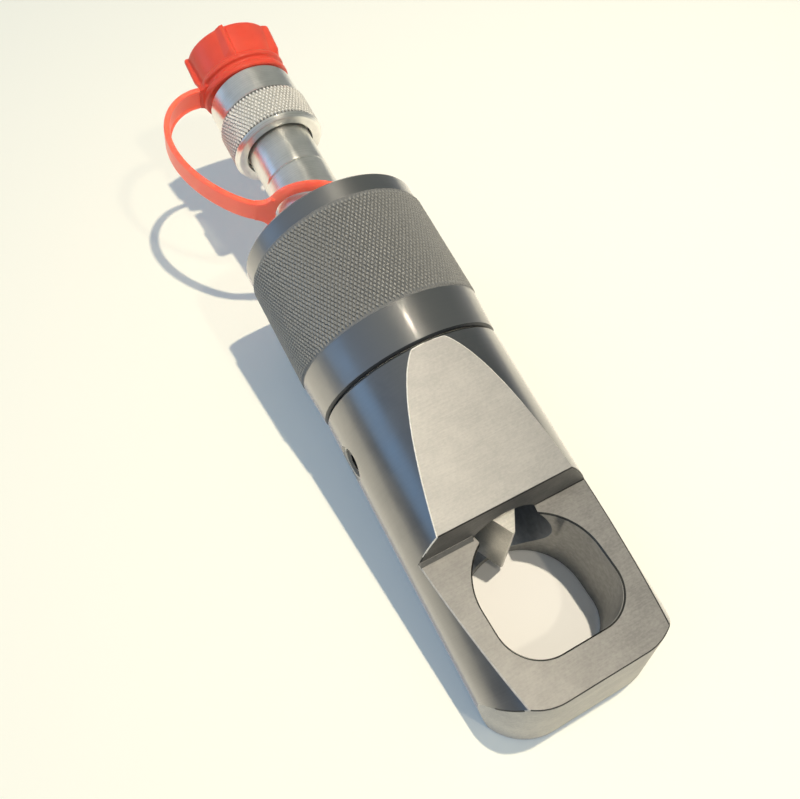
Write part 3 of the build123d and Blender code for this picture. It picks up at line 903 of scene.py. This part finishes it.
def moulded(name, parts, grain, smoothing, finish):
    """Closed parts grown together into one moulding with soft corners."""
    shape = bmesh.new()
    for part in parts:
        shape.from_mesh(part)
    piece = mesh_object(name, mesh_from(shape, name))
    remesh = piece.modifiers.new("remesh", "REMESH")
    remesh.mode = "VOXEL"
    remesh.voxel_size = grain
    smooth = piece.modifiers.new("smooth", "SMOOTH")
    smooth.iterations = smoothing
    smooth.factor = 0.5
    mesh = evaluated_mesh(piece)
    mesh.shade_smooth()
    mesh.materials.clear()
    mesh.materials.append(finish)
    return mesh


def grip_rib():
    """Grip rib of the cap: a slope on one side, a step on the other, run out into the skirt."""
    root = CAP_BODY_R - 2.0
    slope_foot = CAP_RIB_W / 2 + CAP_RIB_SLOPE
    sections = []
    for x, crest in (
        (-CAP_HEIGHT + 0.25, CAP_RIB_R - 0.3),
        (-CAP_HEIGHT + 0.6, CAP_RIB_R),
        (-CAP_SKIRT_LEN - 2.0, CAP_RIB_R),
        (-CAP_SKIRT_LEN + 0.9, CAP_SKIRT_R - 0.2),
    ):
        outline = ((root, -CAP_RIB_W / 2), (crest, -CAP_RIB_W / 2), (crest, -0.3), (root, slope_foot))
        sections.append([(x, r, w) for r, w in outline])
    return swept("grip_rib", sections)


def cap_moulded():
    """Dust cap: skirt, grip ribs and hollow plug, cocked on the collar, with the strap's ear."""
    between_beads = CAP_SKIRT_R - CAP_BEAD_DEPTH
    outline = [
        (-CAP_HEIGHT, 0.0),
        (-CAP_HEIGHT, CAP_TOP_R - 1.2),
        (-CAP_HEIGHT + 0.35, CAP_TOP_R - 0.35),
        (-CAP_HEIGHT + 1.2, CAP_TOP_R),
        (-CAP_SKIRT_LEN, CAP_BODY_R),
        (-5.9, CAP_SKIRT_R - 0.3),
        (-5.2, CAP_SKIRT_R),
        (-4.4, CAP_SKIRT_R - 0.1),
        (-4.0, between_beads),
        (-2.7, between_beads),
        (-2.2, CAP_SKIRT_R - 0.1),
        (-1.5, CAP_SKIRT_R),
        (-0.5, CAP_SKIRT_R),
        (0.0, CAP_SKIRT_R - 0.5),
        (0.0, CAP_PLUG_R),
        (CAP_PLUG_LEN - 0.8, CAP_PLUG_END_R),
        (CAP_PLUG_LEN, CAP_PLUG_END_R - 0.8),
        (CAP_PLUG_LEN, CAP_PLUG_END_R - CAP_WALL),
        (-1.0, CAP_PLUG_R - CAP_WALL),
        (-1.0, 0.0),
    ]
    cocked = Matrix.Translation((CAP_X, 0, 0)) @ Matrix.Rotation(CAP_TILT, 4, "Y")
    parts = [lathe(outline, 160)]
    for i in range(CAP_RIBS):
        rib = grip_rib()
        rib.transform(Matrix.Rotation(STRAP_ANGLE + 2 * pi * i / CAP_RIBS, 4, "X"))
        parts.append(rib)
    for part in parts:
        part.transform(cocked)
    turn = Matrix.Rotation(STRAP_ANGLE, 4, "X") @ Matrix.Translation((EAR_X, 0, 0)) @ FACE_ALONG_AXIS
    parts.append(slab(flare(CAP_SKIRT_R, STRAP_W / 2, EAR_FILLET_R), STRAP_T, turn))
    mesh = moulded("cap_moulded", parts, CAP_GRAIN, CAP_SMOOTHING, CAP_PLASTIC)
    mesh.transform(TOOL)
    return mesh_object("cap_moulded", mesh)


def strap_route():
    """Middle line of the strap in its own plane, with its direction, run on a little at both ends."""
    start = Vector((EAR_X, EAR_R + 0.05))
    end = Vector(STRAP_END)
    span = end.x - start.x
    rise = STRAP_BOW - start.y
    lead = Vector((-sin(RING_LEAN), cos(RING_LEAN))) * STRAP_LEAD
    pulls = [start + Vector((along * span, up * rise)) for along, up in STRAP_PULLS]
    line = []
    for k in range(STRAP_STEPS + 1):
        t = k / STRAP_STEPS
        points = [start, *pulls, end + lead, end]
        while len(points) > 2:
            points = [a.lerp(b, t) for a, b in zip(points, points[1:])]
        line.append((points[0].lerp(points[1], t), (points[1] - points[0]).normalized()))
    first, last = line[0], line[-1]
    return [(first[0] - first[1] * 1.5, first[1])] + line + [(last[0] + last[1] * 2.0, last[1])]


def strap_skin():
    """The strap's skin: flat outside, hollowed between two rims on the side towards the coupler."""
    half_w, half_t = STRAP_W / 2, STRAP_T / 2
    side = [
        (0.0, half_t),
        (half_w - 0.6, half_t),
        (half_w - 0.15, half_t - 0.25),
        (half_w, half_t - 0.7),
        (half_w, 0.4 - half_t),
        (half_w - 0.2, 0.1 - half_t),
        (half_w - 0.6, -half_t),
        (half_w - STRAP_RIM_W, 0.1 - half_t),
        (half_w - STRAP_RIM_W - 0.4, STRAP_HOLLOW - 0.05 - half_t),
        (0.0, STRAP_HOLLOW - half_t),
    ]
    section = side + [(-w, t) for w, t in reversed(side[1:-1])]
    sections = []
    for place, way in strap_route():
        out = Vector((-way.y, way.x))
        sections.append([(*(place + out * t), w) for w, t in section])
    return swept("strap_skin", sections)


def strap_moulded():
    """Strap and the ring that leans on the stem's foot, one moulding that flares from one to the other."""
    half_t = RING_T / 2
    outline = [
        (-half_t, RING_IN_R),
        (-half_t, RING_OUT_R - 0.3),
        (-half_t + 0.4, RING_OUT_R),
        (0.0, RING_OUT_R - 0.5),
        (half_t - 0.4, RING_OUT_R - 1.5),
        (half_t, RING_IN_R + 1.0),
        (half_t, RING_IN_R),
    ]
    ring = lathe(outline, 128)
    root = slab(flare(RING_OUT_R, STRAP_W / 2, RING_FILLET_R), RING_T - 0.1, FACE_ALONG_AXIS)
    lean = Matrix.Translation((RING_X, 0, 0)) @ Matrix.Rotation(RING_LEAN, 4, "Z")
    for part in (ring, root):
        part.transform(lean)
    mesh = moulded("strap_moulded", (ring, root, strap_skin()), STRAP_GRAIN, STRAP_SMOOTHING, STRAP_PLASTIC)
    mesh.transform(STRAP_PLANE)
    return mesh_object("strap_moulded", mesh)


def in_opening(place):
    """Whether a place in the part frame lies in the nut's opening or on its broken edge."""
    return OPENING_FROM < place.x < OPENING_TO and abs(place.y) < OPENING_SIDE


def axis_distance(spot):
    """Distance from the ram axis of a spot in the tool's frame."""
    return hypot(spot.y, spot.z)


def head_finish(normal, centre):
    """Which of the head's finishes a facet has, from its normal and its place in both frames."""
    spot = TO_TOOL @ centre
    if abs(normal.z) > 0.999:
        return JAW_FACE
    if in_opening(centre) and abs(normal.z) < 0.05 and centre.z < JAW_TOP + 0.0001:
        return OPENING_WALL
    # The opening's broken edge gets painted shade
    if in_opening(centre) and 0.6 < abs(normal.z) < 0.8:
        return OPENING_EDGE_SHADE
    square_on = abs(normal.y) < 0.01 and centre.z > JAW_TOP - 0.0001
    if normal.x > 0.80 and square_on:
        return SHOULDER
    if axis_distance(spot) < SPRING_POCKET_R + 0.2 and spot.x < HEAD_FRONT:
        return BORE
    if normal.z > 0.90 and square_on:
        return MARKING_FLAT
    if hypot(spot.x - SCREW_X, spot.z) < SCREW_SPOT_R + 0.05 and spot.y < SCREW_SIDE:
        return SPOT_FACE_AND_EDGE_HIGHLIGHT
    if spot.x > HEAD_FRONT and axis_distance(spot) < HEAD_R - 0.1:
        return FRONT_FACE
    return FLANK


def wears(edge):
    """Whether wear breaks an edge: a sharp one outside the opening, ahead of the origin or at the joint."""
    ends = [vertex.co for vertex in edge.verts]
    spots = [TO_TOOL @ end for end in ends]
    at_joint = all(abs(spot.x) < 0.6 and axis_distance(spot) > JOINT_EDGE_R for spot in spots)
    joint_shows = at_joint and min(end.z for end in ends) > 0.0
    hidden = all(end.x < 0.0 for end in ends) and not joint_shows
    sharp = edge.calc_face_angle(0.0) > WORN_ANGLE
    return sharp and not all(in_opening(end) for end in ends) and not hidden


def edge_finish(centre):
    """Painted light on a worn edge's bevel: a painted highlight round the inclined flat, a paler painted
    highlight on the jaw's left side, painted shade elsewhere.
    """
    flat_end = FLAT_END_LEFT if centre.y < -0.003 else FLAT_END_RIGHT
    if centre.z > JAW_TOP + 0.0002 and centre.x < flat_end:
        return FLAT_EDGE_HIGHLIGHT
    beside_jaw = centre.y < JAW_SIDE and JAW_SIDE_FROM < centre.x < JAW_SIDE_TO
    # Beside the jaw's left side the bevel gets a paler painted highlight
    if beside_jaw and centre.z > JAW_TOP - 0.0009:
        return SPOT_FACE_AND_EDGE_HIGHLIGHT
    return JAW_EDGE_SHADE


def foot_strip():
    """Sloped strip left at the step's foot, from the left flank to the bore."""
    at_flank = [(x, y, z) for x, z, y in FOOT_STRIP]
    at_bore = [(x, FOOT_STRIP_END, z) for x, z, y in FOOT_STRIP]
    mesh = swept("foot_strip", (at_flank, at_bore))
    mesh.materials.append(SHOULDER)
    return mesh


def painted_highlight_bead(rim):
    """Bead with a painted highlight along the two sides of the inclined flat, on the places where it meets
    the flank.
    """
    shape = bmesh.new()
    for side, full in ((-1, BEAD_LEFT), (1, BEAD_RIGHT)):
        places = {tuple(round(v, 6) for v in place) for place in rim if place.y * side > 0.0005}
        line = [Vector(place) for place in sorted(places)]
        sections = []
        for i, place in enumerate(line):
            way = (line[min(i + 1, len(line) - 1)] - line[max(i - 1, 0)]).normalized()
            across = way.cross(Vector((0.0, 0.0, 1.0))).normalized()
            up = across.cross(way)
            thick = full
            if side > 0:
                thick *= min(1.0, max(0.05, (BEAD_RIGHT_END - place.x) / BEAD_FADE))
            angles = [2 * pi * k / BEAD_SIDES for k in range(BEAD_SIDES)]
            sections.append([place + thick * (cos(a) * across + (sin(a) - 0.5) * up) for a in angles])
        add_sweep(shape, sections)
    mesh = closed_mesh(shape, "painted_highlight_bead")
    mesh.materials.append(FLAT_EDGE_HIGHLIGHT)
    return mesh


def true_normals(mesh, flank, ground):
    """Shades the flank's facets as the round surface they lie on, and the ground faces as flat."""
    spots = [TO_TOOL @ vertex.co for vertex in mesh.vertices]
    round_way = TOOL.to_3x3().normalized()
    normals = [Vector((0.0, 0.0, 0.0))] * len(mesh.loops)
    for face in mesh.polygons:
        corners = [spots[i] for i in face.vertices]
        if face.material_index == flank and all(abs(axis_distance(c) - HEAD_R) < 0.03 for c in corners):
            for loop, corner in zip(face.loop_indices, corners):
                normals[loop] = (round_way @ Vector((0.0, corner.y, corner.z))).normalized()
        elif face.material_index in ground:
            for loop in face.loop_indices:
                normals[loop] = Vector(face.normal)
    mesh.normals_split_custom_set(normals)


def head_forging():
    """The head with its ground faces, dark bore and worn edges with painted highlights and painted shade, on
    a merged copy of the solid's skin.
    """
    finishes = [
        FLANK, MARKING_FLAT, JAW_FACE, FRONT_FACE, SHOULDER, OPENING_WALL, OPENING_EDGE_SHADE, BORE, FLAT_EDGE_HIGHLIGHT,
        JAW_EDGE_SHADE, SPOT_FACE_AND_EDGE_HIGHLIGHT,
    ]
    slot = {finish: i for i, finish in enumerate(finishes)}
    shape = merged_copy("head")
    shape.normal_update()
    for face in shape.faces:
        face.material_index = slot[head_finish(face.normal, face.calc_center_median())]
    worn = shape.edges.layers.float.new("bevel_weight_edge")
    rim = []
    for edge in shape.edges:
        if {face.material_index for face in edge.link_faces} == {slot[MARKING_FLAT], slot[FLANK]}:
            rim += [vertex.co.copy() for vertex in edge.verts]
        elif wears(edge):
            edge[worn] = 1.0
    mesh = mesh_from(shape, "head_forging")
    for finish in finishes:
        mesh.materials.append(finish)
    piece = mesh_object("head_forging", mesh)
    bevel = piece.modifiers.new("bevel", "BEVEL")
    bevel.limit_method = "WEIGHT"
    bevel.width = WORN_WIDTH
    bevel.segments = 2
    bevel.material = slot[FLAT_EDGE_HIGHLIGHT]
    mesh = evaluated_mesh(piece)
    # Each bevel face gets a painted highlight or painted shade by where it lies
    for face in mesh.polygons:
        if face.material_index == slot[FLAT_EDGE_HIGHLIGHT]:
            face.material_index = slot[edge_finish(face.center)]
    mesh = joined("head_forging", mesh, foot_strip(), painted_highlight_bead(rim))
    shaded(mesh, 24)
    true_normals(mesh, slot[FLANK], [slot[MARKING_FLAT], slot[JAW_FACE], slot[SHOULDER]])
    mesh.name = "head_forging"
    return mesh_object("head_forging", mesh)


def spring_coil(name, node):
    """A copy of a spring, with its loose facets joined, in spring steel."""
    mesh = mesh_from(merged_copy(node), name)
    mesh.materials.append(SPRING_STEEL)
    return mesh_object(name, shaded(mesh, 40))


def place_camera():
    data = bpy.data.cameras.new("camera")
    data.sensor_width = 36.0
    data.lens = LENS
    data.clip_start = 0.01
    data.clip_end = 10.0
    camera = bpy.data.objects.new("camera", data)
    turn = Matrix((CAMERA_RIGHT, CAMERA_UP, CAMERA_BACK)).transposed().to_4x4()
    camera.matrix_world = Matrix.Translation(CAMERA_PLACE) @ turn
    bpy.context.scene.collection.objects.link(camera)
    bpy.context.scene.camera = camera


def add_lamp(name, place, power, radius, in_reflections):
    data = bpy.data.lights.new(name, "POINT")
    data.energy = power
    data.color = LAMP_COLOUR
    data.shadow_soft_size = radius
    lamp = bpy.data.objects.new(name, data)
    lamp.location = place
    lamp.visible_glossy = in_reflections
    bpy.context.scene.collection.objects.link(lamp)


def light_scene():
    add_lamp("lamp", LAMP_PLACE, LAMP_POWER * (1 - LAMP_GLINT), LAMP_RADIUS, False)
    add_lamp("lamp_glint", LAMP_PLACE, LAMP_POWER * LAMP_GLINT, LAMP_RADIUS, True)
    add_lamp("side_lamp", SIDE_LAMP_PLACE, SIDE_LAMP_POWER, SIDE_LAMP_RADIUS, True)
    world = bpy.data.worlds.new("studio")
    world.use_nodes = True
    tree = world.node_tree
    direction = tree.nodes.new("ShaderNodeTexCoord").outputs["Generated"]
    split = fed_node(tree, "ShaderNodeSeparateXYZ", {"Vector": direction})
    side = fed_node(tree, "ShaderNodeMapRange", {
        "Value": split.outputs["Y"],
        "From Min": 1.0,
        "From Max": -1.0,
    })
    ramp = fed_node(tree, "ShaderNodeValToRGB", {"Fac": side.outputs["Result"]})
    points = ramp.color_ramp.elements
    while len(points) < len(SURROUNDINGS):
        points.new(0.5)
    for point, (position, colour) in zip(points, SURROUNDINGS):
        point.position = position
        point.color = opaque(colour)
    facing = fed_node(tree, "ShaderNodeVectorMath", {0: direction, 1: Vector(WINDOW_WAY).normalized()})
    facing.operation = "DOT_PRODUCT"
    pane = fed_node(tree, "ShaderNodeMapRange", {
        "Value": facing.outputs["Value"],
        "From Min": WINDOW_RIM[0],
        "From Max": WINDOW_RIM[1],
    })
    pane.interpolation_type = "SMOOTHSTEP"
    window = tree.nodes.new("ShaderNodeMix")
    window.data_type = "RGBA"
    window.blend_type = "ADD"
    feed(tree, window, {0: pane.outputs["Result"], 6: ramp.outputs["Color"], 7: opaque(WINDOW_COLOUR)})
    feed(tree, tree.nodes["Background"], {
        "Color": window.outputs[2],
        "Strength": SURROUNDINGS_STRENGTH,
    })
    bpy.context.scene.world = world


def sheet_finish():
    """The floor's finish: a pale sheet with painted light under the nut's opening, a haze for the camera, and
    a glow and ends for reflections.
    """
    finish = Finish("floor", FLOOR_COLOUR, 0.0, 0.9, tool_frame=False)
    ray = finish.tree.nodes.new("ShaderNodeLightPath").outputs
    finish.set("Emission Color", finish.mixed(ray["Is Glossy Ray"], FLOOR_HAZE, SHEET_GLOW))
    slanted = finish.maths("ADD", finish.along("Y"), finish.maths("MULTIPLY", finish.along("X"), SHEET_SLANT))
    past_near_end = finish.stretched(slanted, *SHEET_END)
    past_far_end = finish.stretched(finish.along("Y"), *SHEET_FAR_END)
    past_end = finish.maths("MAXIMUM", past_near_end, past_far_end)
    beyond = finish.maths("MULTIPLY", past_end, ray["Is Glossy Ray"])
    distance = finish.add("ShaderNodeVectorMath", {0: finish.place, 1: OPENING_MIDDLE})
    distance.operation = "DISTANCE"
    outside = finish.stretched(distance.outputs["Value"], *OPENING_FADE)
    # Painted light under the nut's opening: whiter, and without the haze
    paper_and_light_patch = finish.mixed(outside, OPENING_LIGHT_PATCH, FLOOR_COLOUR)
    finish.set("Base Color", finish.mixed(beyond, paper_and_light_patch, BEYOND_SHEET))
    seen = finish.maths("MAXIMUM", ray["Is Camera Ray"], ray["Is Glossy Ray"])
    hazed = finish.maths("MULTIPLY", finish.maths("SUBTRACT", seen, beyond), outside)
    finish.set("Emission Strength", hazed)
    return finish.material


def lay_floor():
    mesh = bpy.data.meshes.new("floor")
    sides = ((-1, -1), (1, -1), (1, 1), (-1, 1))
    corners = [(FLOOR_HALF * x, FLOOR_HALF * y, FLOOR_LEVEL) for x, y in sides]
    mesh.from_pydata(corners, [], [(0, 1, 2, 3)])
    mesh.materials.append(sheet_finish())
    mesh_object("floor", mesh)


bpy.context.scene.view_settings.view_transform = "Standard"
place_camera()
light_scene()
lay_floor()
dress_nodes()

for piece, body, node, slot in (
    (head_forging(), "tool", "head", "head_steel"),
    (cylinder_sleeve(), "tool", "cylinder", "black_oxide"),
    (collar_sleeve(), "collar", "collar", "zinc"),
    (stem_turned(), "tool", "stem", "zinc"),
    (coupler_turned(), "tool", "coupler_body", "zinc"),
    (cap_moulded(), "cap", "dust_cap", "cap_plastic"),
):
    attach(piece, body)
    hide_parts(node)

strap = strap_moulded()
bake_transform(strap)
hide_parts("strap", "strap_ring")

for name, node, pusher in (
    ("return_coil", "return_spring", "ram"),
    ("poppet_coil", "poppet_spring", "valve"),
):
    coil = spring_coil(name, node)
    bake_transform(coil)
    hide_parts(node)
